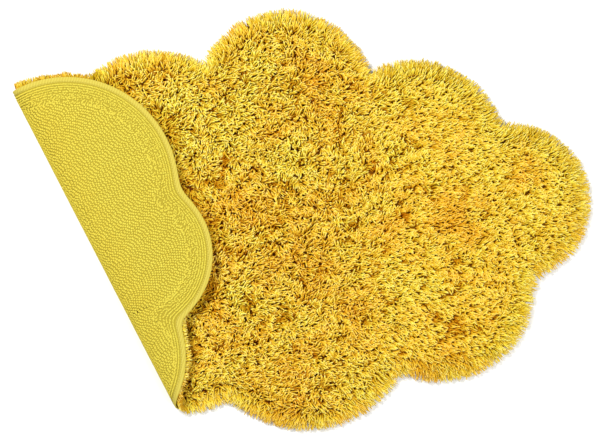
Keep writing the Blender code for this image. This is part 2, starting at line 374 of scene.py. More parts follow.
def pile_top(flat):
    """Height of the pile's top over the cloth's back at flat points (along, side).

    In the open it is OPEN_HEIGHT with lumps of two sizes. Where the turned end covers it, it is half of
    what lies between the two cloths, and along that end's edge runs an uneven trough. It comes down to
    the rim over a soft shoulder.
    """
    along = flat[..., 0]
    lumps = lattice_noise(flat, 0.034, seed=3) + 0.6 * lattice_noise(flat, 0.013, seed=4)
    open_pile = OPEN_HEIGHT + LUMP_HEIGHT * lumps
    past = np.maximum(over_lying(along) - BEND_LENGTH, 0)
    stack = 2 * BEND_RADIUS - SAG * (past / SAG_REACH) ** SAG_POWER
    pressed = (stack - LAYER_GAP) / 2
    pressed = np.where((along >= 0) & (along <= BEND_LENGTH), IN_BEND, pressed)
    cover = flap_cover(flat)
    covered = smooth_step((cover + COVER_MARGIN + COVER_RISE) / COVER_RISE)
    covered = np.where(along < 0, covered, 1.0)
    beside = smooth_step(1 - np.abs(cover + TROUGH_WIDTH / 2) / TROUGH_WIDTH) * (along < 0)
    trough = TROUGH_DEPTH * beside * (0.6 + 0.7 * lattice_noise(flat, 0.028, seed=5))
    height = blend(open_pile, pressed, covered) - trough
    inside = np.clip(pile_depth(flat) / SHOULDER, 0, 1)
    return RIM_HEIGHT + (height - RIM_HEIGHT) * (1 - (1 - inside) ** 1.5)


def volume(points, triangles):
    """The room inside a closed skin: a sixth of the sum of each triangle's a . (b x c)."""
    a, b, c = (points[triangles[:, k]] for k in range(3))
    return float(np.einsum("ij,ij->i", a, np.cross(b, c)).sum() / 6)


def put_mesh(name, points, faces, uvs, materials, kinds=0):
    """Makes a piece from points, arrays of faces and each face's UVs, turned so that faces point out.

    kinds is each face's place in materials.
    """
    triangles = np.vstack([
        face[:, [0, k, k + 1]] for face in faces for k in range(1, face.shape[1] - 1)
    ])
    if volume(points, triangles) < 0:
        faces = [face[:, ::-1] for face in faces]
        uvs = [uv[:, ::-1] for uv in uvs]
    corners = np.concatenate([face.ravel() for face in faces])
    sizes = np.concatenate([np.full(len(face), face.shape[1]) for face in faces])
    mesh = bpy.data.meshes.new(name)
    mesh.vertices.add(len(points))
    mesh.vertices.foreach_set("co", points.astype(np.float32).ravel())
    mesh.loops.add(len(corners))
    mesh.loops.foreach_set("vertex_index", corners.astype(np.int32))
    mesh.polygons.add(len(sizes))
    starts = np.concatenate([[0], np.cumsum(sizes)[:-1]])
    mesh.polygons.foreach_set("loop_start", starts.astype(np.int32))
    mesh.update(calc_edges=True)
    mesh.shade_smooth()
    layer = mesh.uv_layers.new(name="OFBake")
    layer.uv.foreach_set("vector", np.concatenate([uv.ravel() for uv in uvs]).astype(np.float32))
    for material in materials:
        mesh.materials.append(material)
    mesh.polygons.foreach_set("material_index", np.broadcast_to(kinds, sizes.shape).astype(np.int32))
    mesh.validate()
    made = bpy.data.objects.new(name, mesh)
    bpy.context.scene.collection.objects.link(made)
    return made


def add(tree, kind, values=(), stops=(), **settings):
    """Adds a node: settings are its own properties, values its sockets' numbers, colours or links.

    stops are the places and linear colours of a colour ramp, from left to right.
    """
    made = tree.nodes.new("ShaderNode" + kind)
    for name, value in settings.items():
        setattr(made, name, value)
    for socket, value in dict(values).items():
        if isinstance(value, bpy.types.NodeSocket):
            tree.links.new(value, made.inputs[socket])
        else:
            made.inputs[socket].default_value = value
    for number, (place, shade) in enumerate(stops):
        elements = made.color_ramp.elements
        element = elements[number] if number < len(elements) else elements.new(place)
        element.position = place
        element.color = shade
    return made


FACTOR, FIRST, SECOND, MIXED = 0, 6, 7, 2  # the sockets of a Mix node that mixes colours


def new_material(name, **sockets):
    """A material whose Principled shader has those constant sockets, its node tree and its shader."""
    material = bpy.data.materials.new(name)
    material.use_nodes = True
    shader = material.node_tree.nodes["Principled BSDF"]
    for socket, value in sockets.items():
        shader.inputs[socket.replace("_", " ")].default_value = value
    return material, material.node_tree, shader


def back_material(settings):
    """Woven cotton back cloth: coarse matt yarn stitches in rows, with painted shade in the grooves
    between.

    Past the crease it is drawn with rows. The part that lies on the floor is plain.
    """
    material, tree, shader = new_material("woven cotton back", Roughness=0.9, Specular_IOR_Level=0.15)
    uv = add(tree, "UVMap", uv_map="OFBake")
    turned = add(
        tree, "Mapping",
        {"Vector": uv.outputs["UV"], "Scale": (UV_SPAN, UV_SPAN, 1), "Rotation": (0, 0, -ROW_ANGLE_UV)},
    )
    # the groove colour is the cloth's own colour darkened as painted shade between the stitches
    bricks = add(
        tree, "TexBrick",
        {
            "Vector": turned.outputs["Vector"], "Color1": settings.stitch_colour,
            "Color2": settings.stitch_tone_and_shade, "Mortar": settings.groove_cloth_and_shade,
            "Scale": 1.0, "Mortar Size": 0.0006, "Mortar Smooth": 0.6,
            "Brick Width": settings.stitch_pitch, "Row Height": settings.row_pitch,
        },
    )
    split = add(tree, "SeparateXYZ", {"Vector": uv.outputs["UV"]})
    stitched = add(
        tree, "Math", {0: split.outputs["X"], 1: -UV_START[0] / UV_SPAN},
        operation="GREATER_THAN",
    )
    ground = add(
        tree, "Mix",
        {FACTOR: stitched.outputs[0], FIRST: bricks.outputs["Color"], SECOND: settings.groove_cloth_and_shade},
        data_type="RGBA",
    )
    tree.links.new(ground.outputs[MIXED], shader.inputs["Base Color"])
    bump = add(
        tree, "Bump", {"Height": bricks.outputs["Fac"], "Strength": 0.5, "Distance": 0.0006},
        invert=True,
    )
    tree.links.new(bump.outputs["Normal"], shader.inputs["Normal"])
    return material


def hem_material(settings):
    """Plain woven cotton hem: pale and smooth, its fine slanting twill only just seen.

    Real twill lines lie about 1 mm apart, too fine to show, so they are drawn about 5 mm apart.
    """
    material, tree, shader = new_material(
        "plain woven cotton hem", Roughness=0.9, Specular_IOR_Level=0.15,
    )
    uv = add(tree, "UVMap", uv_map="OFBake")
    size = UV_SPAN / 0.0035
    wide = add(tree, "Mapping", {"Vector": uv.outputs["UV"], "Scale": (size, size, 1)})
    twill = add(
        tree, "TexWave",
        {"Vector": wide.outputs["Vector"], "Scale": 0.32, "Distortion": 1.5, "Detail": 2.0},
        bands_direction="DIAGONAL",
    )
    ramp = add(
        tree, "ValToRGB", {"Fac": twill.outputs["Fac"]},
        stops=[(0.2, settings.hem_shade), (0.8, settings.hem_colour)],
    )
    tree.links.new(ramp.outputs["Color"], shader.inputs["Base Color"])
    bump = add(
        tree, "Bump", {"Height": twill.outputs["Fac"], "Strength": 0.3, "Distance": 0.0004},
    )
    tree.links.new(bump.outputs["Normal"], shader.inputs["Normal"])
    return material


def yarn_material(name, stops, tints, lights, **sockets):
    """Cotton yarn: v runs from a strand's root to its tip, or along a stitch, and picks the colour there.

    u picks the strand's hue, and its share of one hue's columns how light the strand is: from the
    first of the lights, a tint of painted shade for strands low in the pile, to the second.
    """
    material, tree, shader = new_material(name, **sockets)
    uv = add(tree, "UVMap", uv_map="OFBake")
    split = add(tree, "SeparateXYZ", {"Vector": uv.outputs["UV"]})
    depth = add(tree, "ValToRGB", {"Fac": split.outputs["Y"]}, stops=stops)
    shade = add(tree, "ValToRGB", {"Fac": split.outputs["X"]}, stops=tints)
    tinted = add(
        tree, "Mix",
        {FACTOR: 1.0, FIRST: depth.outputs["Color"], SECOND: shade.outputs["Color"]},
        data_type="RGBA", blend_type="MULTIPLY",
    )
    columns = add(tree, "Math", {0: split.outputs["X"], 1: float(HUES)}, operation="MULTIPLY")
    column = add(tree, "Math", {0: columns.outputs[0]}, operation="FRACT")
    # painted light and shade: a tint between the two lights, darker for strands low in the pile
    light = add(
        tree, "Mix", {FACTOR: column.outputs[0], FIRST: lights[0], SECOND: lights[1]},
        data_type="RGBA",
    )
    lit = add(
        tree, "Mix",
        {FACTOR: 1.0, FIRST: tinted.outputs[MIXED], SECOND: light.outputs[MIXED]},
        data_type="RGBA", blend_type="MULTIPLY",
    )
    tree.links.new(lit.outputs[MIXED], shader.inputs["Base Color"])
    return material


def bed_material(settings):
    """Cotton yarn deep in the pile, packed and in shade: matt, fibrous, dark orange-brown painted shade.

    Real fibres are too fine to show, so their mottling is drawn about 4 mm wide, as yarn ends are.
    """
    material, tree, shader = new_material(
        "painted shade of packed cotton yarn", Roughness=0.95, Specular_IOR_Level=0.05,
    )
    place = add(tree, "TexCoord")
    split = add(tree, "SeparateXYZ", {"Vector": place.outputs["Object"]})
    to_right = add(
        tree, "MapRange",
        {"Value": split.outputs["X"], "From Min": CLOSER_FROM, "From Max": 0.25},
    )
    fibres = add(
        tree, "TexNoise", {"Vector": place.outputs["Object"], "Scale": 260.0, "Detail": 4.0},
    )
    ramp = add(
        tree, "ValToRGB", {"Fac": fibres.outputs["Fac"]},
        stops=[(0.40, settings.bed_painted_shade), (0.85, settings.root_painted_shade)],
    )
    # the painted shade is less dark on the right, where the pile is closer
    mix = add(
        tree, "Mix",
        {
            FACTOR: to_right.outputs["Result"], FIRST: ramp.outputs["Color"],
            SECOND: settings.shallow_bed_painted_shade,
        },
        data_type="RGBA",
    )
    tree.links.new(mix.outputs[MIXED], shader.inputs["Base Color"])
    bump = add(
        tree, "Bump", {"Height": fibres.outputs["Fac"], "Strength": 0.8, "Distance": 0.002},
    )
    tree.links.new(bump.outputs["Normal"], shader.inputs["Normal"])
    return material


# The stitch rows run up to the right on the turned end, at 50 degrees in the plan.
ROW_WAY = math.radians(50)
ROW_PLAN = np.array([math.cos(ROW_WAY), math.sin(ROW_WAY)])
ROW_FLAT = np.array([-ROW_PLAN @ TO_CREASE, ROW_PLAN @ BY_CREASE])
ROW_ASIDE = np.array([-ROW_FLAT[1], ROW_FLAT[0]])
UV_SPAN = 1.3  # metres of cloth across the whole UV map
ROW_ANGLE_UV = math.atan2(ROW_FLAT[1], ROW_FLAT[0])
UV_START = np.array([-0.92, -0.46])
STITCH_START = 0.012  # along the bend; nearer the floor the stitches have no room
FIRST_ROW = 0.0038  # from the hem to the middle of the first row
STITCH_SUNK = 0.0002  # the stitches' middles lie this far in the cloth
HEM_STITCH = (0.0034, 0.0010, 0.0005)  # length, width and height
HEM_STITCH_PITCH = 0.0046
HEM_SEAM = 0.0014  # from the hem's inner side to its stitches
STITCHES_OUT = 420  # rows, and stitches in a row, each way from UV_START: more than enough
ROWS_MEET = 0.0012  # the slanting rows run this far into the edge rows
HEM_STEP = 0.0012  # width of the slope up onto the hem
ROUND_WIDTH = 0.0011  # the cloth's edges are rounded over this width
ROUND_DEPTH = 0.0007
BACK_RAYS = 480
BED_RAYS = 360
BED_BOTTOM = CLOTH + 0.0003
PRESSED_SHARE = 0.97  # of the pile is packed under the turned end


def closed_disc(rings, poles):
    """Faces of a closed skin: rings of points (ring, ray), then its first and its last pole."""
    count, rays = rings.shape[:2]
    points = np.vstack([rings.reshape(-1, 3), poles])
    here = np.arange(rays)
    there = (here + 1) % rays
    row = (np.arange(count - 1) * rays)[:, None]
    after = row + rays
    quads = np.stack([row + here, row + there, after + there, after + here], axis=-1).reshape(-1, 4)
    last = (count - 1) * rays
    first_pole = np.full(rays, count * rays)
    caps = np.vstack([
        np.column_stack([there, here, first_pole]),
        np.column_stack([last + here, last + there, first_pole + 1]),
    ])
    return points, [quads, caps]


def flat_uvs(flat, faces, hidden):
    """UVs from along and side. The faces that can't be seen have a small island of their own."""
    uv = (flat[:, :2] - UV_START) / UV_SPAN
    small = (0.0, 0.70) + uv * 0.28
    return [np.where(hidden[face].any(axis=1)[:, None, None], small[face], uv[face]) for face in faces]


def make_backing(settings):
    """The cloth: rings of points on its back out to the edge, round a turned hem and in again.

    Height is 0 on the back and CLOTH on the pile's side. The hem's double cloth stands off the back of
    the turned end by the hem's rise, and both edges are rounded.
    """
    hem = settings.hem_width
    insets = [0.050, 0.040, 0.030, 0.020, hem + HEM_STEP, hem, 0.006, 0.003, ROUND_WIDTH, 0.0003]
    rings = disc_rings(BACK_RAYS, (5, 14, 14), SPLAY + np.array(insets))
    depth = edge_distance(rings, SPLAY)
    turned = turned_share(rings[..., 0])
    rise = settings.hem_rise * turned * smooth_step((hem + HEM_STEP - depth) / HEM_STEP)
    rounded = ROUND_DEPTH * smooth_step(1 - depth / ROUND_WIDTH)
    ripple = cloth_wave(rings) * turned
    back = np.dstack([rings, rounded - rise + ripple])
    front = np.dstack([rings, CLOTH - rounded - rise * 0.2 + ripple])[::-1]
    edge_way = ray_ways(BACK_RAYS)
    edge = MIDDLE + edge_way * edge_reach(edge_way, SPLAY)[:, None]
    edge_turned = turned_share(edge[:, 0])
    middle_height = CLOTH / 2 - settings.hem_rise * edge_turned * 0.5
    edge = np.column_stack([edge, middle_height])[None]
    every = np.concatenate([back, edge, front])
    poles = np.array([[*MIDDLE, 0.0], [*MIDDLE, CLOTH]])
    flat, faces = closed_disc(every, poles)
    hidden = np.append(np.repeat(np.arange(len(every)) > len(back), BACK_RAYS), (False, True))
    uvs = flat_uvs(flat, faces, hidden)
    middles = np.concatenate([flat[face][..., :2].mean(axis=1) for face in faces])
    kinds = edge_distance(middles, SPLAY) < hem
    materials = [back_material(settings), hem_material(settings)]
    return put_mesh("backing_cloth", folded(flat), faces, uvs, materials, kinds)


def grains(centres, ways, sizes, lift):
    """Small round-ended stitches: a four sided ring at two places along each, and a point at its ends.

    Centres and ways are flat; each size is (length, width, height), lift how far the back is up.
    """
    length, width, height = (sizes[:, k] for k in range(3))
    aside = np.column_stack([-ways[:, 1], ways[:, 0]])
    places = np.array([-0.5, 0.5]) * length[:, None] / 2
    turn = math.radians(45) + np.tile(np.arange(4) * math.radians(90), (2, 1))
    across = np.cos(turn) * width[:, None, None] / math.sqrt(2)
    out = np.sin(turn) * height[:, None, None] * math.sqrt(2)
    plan = (
        centres[:, None, None] + places[:, :, None, None] * ways[:, None, None]
        + across[..., None] * aside[:, None, None]
    )
    up = lift[:, None, None] - out
    rings = np.concatenate([plan, up[..., None]], axis=-1).reshape(len(centres), 8, 3)
    ends = centres[:, None] + np.array([-0.5, 0.5])[None, :, None] * (length[:, None] * ways)[:, None]
    ends = np.concatenate([ends, np.broadcast_to(lift[:, None, None], (len(centres), 2, 1))], axis=-1)
    return np.concatenate([rings, ends], axis=1)


def repeated(faces, count, step):
    """The faces of one small shape for count such shapes, each of step points."""
    offset = (np.arange(count) * step)[:, None, None]
    return [(face + offset).reshape(-1, face.shape[1]) for face in faces]


def shade_uvs(shades, lengthwise, cap_across):
    """The UVs of small shapes' quads and triangles: u crosses the shade's column, v is lengthwise."""
    uvs = []
    for v, across in zip(lengthwise, ((0.0, 1.0, 1.0, 0.0), cap_across)):
        u = (shades[:, None, None] + blend(0.1, 0.9, np.array(across))) / SHADES
        shape = (len(shades), *v.shape[-2:])
        uv = np.stack([np.broadcast_to(u, shape), np.broadcast_to(v, shape)], axis=-1)
        uvs.append(uv.reshape(-1, len(across), 2))
    return uvs


def grain_mesh(name, points, shades, material):
    """Joins the stitches into one piece. u is the shade's column and v runs along the stitch."""
    k = np.arange(4)
    n = (k + 1) % 4
    quads = np.column_stack([k, n, 4 + n, 4 + k])
    first_cap = np.column_stack([n, k, np.full(4, 8)])
    last_cap = np.column_stack([4 + k, 4 + n, np.full(4, 9)])
    caps = np.vstack([first_cap, last_cap])
    v = np.array([0.25] * 4 + [0.75] * 4 + [0.02, 0.98])
    faces = repeated((quads, caps), len(points), len(v))
    uvs = shade_uvs(shades, (v[quads], v[caps]), (1.0, 0.0, 0.5))
    return put_mesh(name, folded(points.reshape(-1, 3)), faces, uvs, [material])


def row_along_edge(inset, pitch, start):
    """Even places along the cloud's edge at that inset on the turned end, and the way the row runs."""
    line, travel = edge_line(inset)
    at = np.arange(start * pitch, travel[-1] - pitch / 2, pitch)
    places = np.column_stack([np.interp(at, travel, line[:, k]) for k in range(2)])
    ahead = np.column_stack([np.interp(at + 0.001, travel, line[:, k]) for k in range(2)])
    way = unit(ahead - places)
    keep = places[:, 0] > STITCH_START
    return places[keep], way[keep]


def row_insets(settings):
    """How far each row of edge stitches lies in from the cloth's edge."""
    return settings.hem_width + FIRST_ROW + np.arange(settings.edge_rows) * settings.edge_row_pitch


def stitch_shades(places, random):
    """A column of the yarn's UV map for each stitch: its hue drifts slowly over the cloth."""
    patch = 0.9 * lattice_noise(places, 0.09, seed=31)
    # painted shade: the stitches turn more orange near the bend
    bend_painted_shade = 2.6 * smooth_step(1 - (places[:, 0] - BEND_LENGTH) / 0.06)
    hues = random.normal(7.2, 0.8, len(places)) + patch - bend_painted_shade
    hues = np.clip(hues, 0, HUES - 1).astype(int)
    return hues * LIGHTS + random.integers(0, LIGHTS, len(places))


def stitch_material(settings):
    """Cotton tufting yarn on the back: matt, pale on top of each stitch, painted shade where it dives."""
    return yarn_material(
        "cotton tufting yarn",
        [
            (0.0, settings.stitch_tone_and_shade), (0.3, settings.stitch_colour),
            (0.7, settings.stitch_colour), (1.0, settings.stitch_tone_and_shade),
        ],
        [(0.0, (1.0, 0.90, 0.7, 1)), (1.0, (0.99, 1.04, 1.15, 1))],
        [(0.94, 0.93, 0.90, 1), (1.04, 1.04, 1.04, 1)],
        Roughness=0.85, Specular_IOR_Level=0.05,
    )


def thread_material(settings):
    """Cotton sewing thread: matt, thin, with painted shade at both ends of a stitch, where it dives."""
    # painted shade: the thread's ends take the groove's darker colour where it dives
    ends = settings.groove_cloth_and_shade
    return yarn_material(
        "cotton sewing thread", [(0.0, ends), (0.5, settings.stitch_tone_and_shade), (1.0, ends)],
        [(0.0, (0.9, 0.9, 0.9, 1)), (1.0, (1, 1, 1, 1))], [(1, 1, 1, 1), (1, 1, 1, 1)], Roughness=0.7,
    )


def lay_stitches(name, places, size, uneven, wave, settings, random):
    """Lays stitches at flat places the rows' slanting way, uneven in their way and in their size."""
    astray, spread = uneven
    ways = ROW_FLAT + random.normal(0, astray, len(places))[:, None] * ROW_ASIDE
    sizes = np.array(size) * random.uniform(1 - spread, 1 + spread, (len(places), 3))
    points = grains(places, ways, sizes, wave + STITCH_SUNK)
    return grain_mesh(name, points, stitch_shades(places, random), stitch_material(settings))


def edge_rows_at(side, settings):
    """How many rows run along the edge at that place beside the crease: fewer at its near end."""
    return blend(float(settings.edge_rows), 2.0, smooth_step((side + 0.02) / 0.15))


def make_edge_rows(settings):
    """The rows of tufting yarn along the turned end's edge: stitches that all slant one way.

    They are set out along the edge at each row's inset, less and less evenly from the hem inwards.
    """
    random = np.random.default_rng(SEED + 3)
    pitch = settings.edge_stitch
    insets = row_insets(settings)
    rows = [row_along_edge(inset, pitch, 0.3 * number)[0] for number, inset in enumerate(insets)]
    places = np.vstack(rows)
    number = np.repeat(np.arange(len(rows)), [len(row) for row in rows])
    here = number < edge_rows_at(places[:, 1], settings)
    uneven = (0.00014 + 0.00018 * number)[here]
    places = places[here]
    places = places + random.normal(0, 1, places.shape) * uneven[:, None]
    size = (settings.edge_row_pitch * 1.10, pitch * 0.92, settings.stitch_rise)
    wave = cloth_wave(places)
    return lay_stitches("back_edge_rows", places, size, (0.10, 0.08), wave, settings, random)


def make_stitches(settings):
    """The tufting stitches that show on the turned end inside the edge rows, in slanting rows."""
    random = np.random.default_rng(SEED + 1)
    steps = np.arange(-STITCHES_OUT, STITCHES_OUT + 1)
    rows, columns = np.meshgrid(steps, steps, indexing="ij")
    across = rows * settings.row_pitch
    run = (columns + random.uniform(0, 1, (len(steps), 1))) * settings.stitch_pitch
    places = (across[..., None] * ROW_ASIDE + run[..., None] * ROW_FLAT + UV_START).reshape(-1, 2)
    edge_rows = edge_rows_at(places[:, 1], settings) * settings.edge_row_pitch
    inner = settings.hem_width - ROWS_MEET + edge_rows
    places = places[(places[:, 0] > STITCH_START) & (edge_distance(places, SPLAY) > inner)]
    places = places + random.normal(0, 0.0003, places.shape)
    size = (settings.stitch_pitch * 1.02, settings.row_pitch * 0.92, settings.stitch_rise)
    wave = cloth_wave(places) * turned_share(places[:, 0])
    return lay_stitches("back_stitches", places, size, (0.11, 0.06), wave, settings, random)


def make_hem_thread(settings):
    """The hem's running stitches, close to its inner side on the turned end."""
    places, ways = row_along_edge(settings.hem_width - HEM_SEAM, HEM_STITCH_PITCH, 0.0)
    sizes = np.broadcast_to(HEM_STITCH, (len(places), 3))
    points = grains(places, ways, sizes, cloth_wave(places) - settings.hem_rise)
    return grain_mesh("hem_thread", points, np.full(len(places), 6), thread_material(settings))


def bed_top(flat, settings):
    """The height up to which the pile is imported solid: a share of the pile's top, less a little."""
    open_share = settings.bed_share + 0.17 * closer_share(floor_places(flat))
    share = blend(open_share, PRESSED_SHARE, smooth_step(flap_cover(flat) / 0.02))
    edge = edge_distance(flat, SPLAY)
    under_cloth = blend(settings.bed_share, PRESSED_SHARE, smooth_step(edge / 0.04))
    share = np.where(flat[..., 0] > 0, under_cloth, share)
    return np.maximum(pile_top(flat) * share, CLOTH + 0.002)


def make_bed(settings):
    """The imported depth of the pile: a closed skin from the cloth's pile side up to the bed's top."""
    insets = SPLAY + RIM_INSET + np.array([0.030, 0.020, 0.012, 0.006, 0.002, 0.0])
    rings = disc_rings(BED_RAYS, (11, 8, 12), insets)
    top = np.dstack([rings, bed_top(rings, settings)])[::-1]
    bottom = np.dstack([rings, np.full(rings.shape[:2], BED_BOTTOM)])
    every = np.concatenate([bottom, top])
    centre = bed_top(MIDDLE[None], settings)[0]
    poles = np.array([[*MIDDLE, BED_BOTTOM], [*MIDDLE, centre]])
    flat, faces = closed_disc(every, poles)
    hidden = np.append(np.repeat(np.arange(len(every)) < len(bottom), BED_RAYS), (True, False))
    uvs = flat_uvs(flat, faces, hidden)
    return put_mesh("pile_bed", folded(flat), faces, uvs, [bed_material(settings)])


SIDES = 3  # round a strand
STATIONS = np.array([0.0, 0.42, 0.90, 1.0])  # along a strand, from its root to its tip
FULLNESS = np.array([0.85, 1.0, 0.80])  # of its thickness, ring by ring
RINGS = len(FULLNESS)
CLIMB = np.array([0.0, 0.84, 1.0, 0.97])  # share of its rise at each station
THICKEST = 1.14  # of the yarn's thickness
THIN_CELL = 0.004  # cells of the net that finds where the pile is thin
COMBED_FROM = 0.022  # nearer the pile's edge all strands run outwards
RIM_ROOTS = 0.015  # from the cloth's edge in, twice as many strands stand
PATCHES = (0.020, 0.042, 0.095)  # sizes of the pile's patches of one hue
# painted shade: the pile beside the turned end is coloured more orange round here
ORANGE_SHADE_PATCH = np.array([-0.315, 0.255])  # the middle of the patch beside the turned end
CREASE_TIP = np.array([-0.225, -0.350])
FLOW_START = np.array([-0.06, 0.03])  # the pile on the right leans away from here
TOP_TUFT = np.array([-0.011, 0.375])  # where a tuft sticks out at the top


def root_net(pitch, random):
    """An uneven net of flat points over the whole cloth."""
    along = np.arange(-0.92, 0.30, pitch * math.sqrt(3) / 2)
    side = np.arange(-0.46, 0.46, pitch)
    net = square_net(along, side)
    net[1::2, :, 1] += pitch / 2
    roots = net.reshape(-1, 2)
    return roots + random.uniform(-0.42, 0.42, roots.shape) * pitch


def strand_roots(settings, random):
    """Roots over the cloth, closer together near its edge, less those that the turned end hides."""
    rim = root_net(settings.root_pitch, random)
    rim = rim[edge_distance(rim, SPLAY) < RIM_ROOTS]
    roots = np.vstack([root_net(settings.root_pitch, random), rim])
    depth = edge_distance(roots, SPLAY)
    in_sight = (flap_cover(roots) < 0.022) | (depth < 0.030)
    return roots[(depth > 0.004) & np.where(roots[:, 0] > 0, depth < 0.034, in_sight)]


def thin_places(lines, count, random):
    """Flat points where the pile parts: the cells of a net over it that the fewest strands cross."""
    between = (lines[:, 1:] + lines[:, :-1]) / 2
    marks = np.concatenate([lines[:, 1:], between], axis=1)[..., :2].reshape(-1, 2)
    along = np.arange(-0.90, 0.0, THIN_CELL)
    side = np.arange(-0.45, 0.45, THIN_CELL)
    crossed = np.histogram2d(marks[:, 0], marks[:, 1], bins=(along, side))[0]
    padded = np.pad(crossed, 1)
    rows, columns = crossed.shape
    crossed = sum(padded[i:i + rows, j:j + columns] for i, j in np.ndindex(3, 3))
    middles = square_net(along[:-1], side[:-1]) + THIN_CELL / 2
    open_pile = (pile_depth(middles) > 0.012) & (flap_cover(middles) < 0.015)
    middles, crossed = middles[open_pile], crossed[open_pile]
    thin = middles[np.argsort(crossed, kind="stable")[:count]]
    return thin + random.uniform(-0.5, 0.5, thin.shape) * THIN_CELL


def parted(places):
    """1 in small uneven spots where the open pile parts, showing roots of painted dark red shade, else 0.
    """
    spots = smooth_step((lattice_noise(places, 0.0115, seed=61) - 0.40) / 0.20)
    fewer = smooth_step((places[:, 0] + 0.78) / 0.25)
    return spots * blend(0.35, 1.0, fewer) * smooth_step((pile_depth(places) - 0.035) / 0.02)


def strand_ways(roots, short, combed, turned, settings, random):
    """Which way each strand leans, as unit flat directions, and its clump's centre.

    In the open it leans as its clump does, and on the right more and more away from FLOW_START. Near
    the edge it runs outwards. The short ones lean any way.
    """
    count = len(roots)
    centre, own = nearest_clump(roots, settings.clump_pitch, SEED + 2)
    order = smooth_step(0.5 + 0.8 * lattice_noise(centre, 0.11, seed=41))
    flow = math.radians(settings.flow_angle) + 1.1 * lattice_noise(centre, 0.16, seed=42)
    angle = flow + blend(1.3, 0.25, order) * own[:, 0] + random.normal(0, 0.40, count)
    lean = np.column_stack([np.cos(angle), np.sin(angle)]) @ PLAN_TO_FLAT
    lean = np.where(short[:, None], random.normal(0, 0.7, (count, 2)), lean)
    stray = random.normal(0, blend(0.42, 0.55, turned[:, None]), (count, 2))
    ground = floor_places(roots)
    away = unit((ground - FLOW_START) @ PLAN_TO_FLAT)
    lean = blend(lean, 1.6 * away + 0.6 * lean + stray, 0.65 * right_share(ground)[:, None])
    way = blend(lean, 2.0 * outward_way(roots) + 0.5 * lean + stray, combed[:, None])
    return unit(way), centre


def near_end(ground):
    """1 at the near end of the turned part, for places seen from above, else 0."""
    return smooth_step((-0.155 - ground[:, 1]) / 0.03)


def strand_reaches(roots, short, combed, turned, settings, random):
    """How far each strand leans over.

    Near the edge it stops at the outline, give or take a little. On the turned part it only shows
    past the cloth at both ends, where it is ragged.
    """
    count = len(roots)
    ground = floor_places(roots)
    reach = blend(settings.strand_reach, settings.rim_reach, combed) * random.uniform(0.72, 1.22, count)
    reach = np.where(short, 0.40 * reach, reach)
    at_tuft = near_place(ground, TOP_TUFT, 1.6, 0.02)
    longest = pile_depth(roots) + 0.0015 + random.normal(0, 0.0010, count)
    longest += 0.0020 * lattice_noise(roots, 0.022, seed=43) + 0.006 * at_tuft
    reach = np.where(combed > 0.3, np.minimum(reach, longest), reach)
    at_tip = near_place(ground, CREASE_TIP, 1.8, 0.03)
    reach -= 0.005 * at_tip * (1 - turned)
    far = smooth_step((ground[:, 1] - 0.19) / 0.03) * smooth_step((-0.375 - ground[:, 0]) / 0.03)
    ragged = 0.006 + 0.005 * lattice_noise(roots, 0.012, seed=44) + random.uniform(0, 0.007, count)
    turned_reach = edge_distance(roots, SPLAY) - 0.003 + (near_end(ground) + far) * ragged
    return blend(reach, turned_reach, turned)


def strand_heights(roots, plan, level, combed, turned, settings):
    """How high each strand lies at its stations.

    On the lying part it climbs out of the bed to its own level under the pile's top. Under the turned
    cloth it hangs by its level. It never sinks into the floor or the cloth.
    """
    ground = floor_places(roots)
    calm = 1 - 0.85 * closer_share(ground)
    calm = np.minimum(calm, 1 - 0.30 * smooth_step((-0.10 - ground[:, 1]) / 0.10))
    below = blend(calm, 1.0, combed) * blend(0.0082, 0.0100, combed) * (1 - level) ** 1.3
    below += 0.0035 * parted(roots) * (roots[:, 0] < 0)
    packed = bed_top(roots, settings)[:, None]
    low = packed - 0.003
    top = np.maximum(pile_top(plan) + 0.0015 - below[:, None], packed + 0.0012)
    lying = low + (top - low) * CLIMB
    near = near_end(ground)
    over = blend(0.0045 + 0.010 * (1 - level), 0.0030 + 0.007 * (1 - level), near)[:, None]
    over = over + 0.004 * STATIONS ** 2 * (1 - near)[:, None]
    height = blend(lying, over, turned[:, None])
    radius = settings.yarn_thickness / 2 * THICKEST
    return np.maximum(height, blend(radius, CLOTH + radius, turned)[:, None])


def strand_lines(roots, short, settings, random):
    """Each strand's line in flat measures, as (strand, station, 3), how combed and how high it is.

    With u from 0 at its root to 1 at its tip, a strand goes its reach times u^1.25 its own way, its
    curl times u^2 aside and a share of u to its clump's centre.
    """
    count = len(roots)
    combed = 1 - smooth_step((pile_depth(roots) - COMBED_FROM) / settings.combed_width)
    turned = turned_share(roots[:, 0])
    way, centre = strand_ways(roots, short, combed, turned, settings, random)
    reach = strand_reaches(roots, short, combed, turned, settings, random)
    aside = np.column_stack([-way[:, 1], way[:, 0]])
    curl = settings.curl * random.uniform(-1, 1, count) * (1 - 0.50 * combed)
    pull = centre - roots
    pull -= combed[:, None] * (pull * way).sum(axis=1)[:, None] * way
    gather = settings.gather * (1 - turned) * (1 + combed)
    u = STATIONS[None, :, None]
    plan = (
        roots[:, None] + u ** 1.25 * (way * reach[:, None])[:, None]
        + u ** 2 * (aside * curl[:, None])[:, None] + u * (pull * gather[:, None])[:, None]
    )
    level = np.where(short, random.uniform(0.1, 0.7, count), random.uniform(0, 1, count))
    height = strand_heights(roots, plan, level, combed, turned, settings)
    return np.concatenate([plan, height[..., None]], axis=-1), combed, level


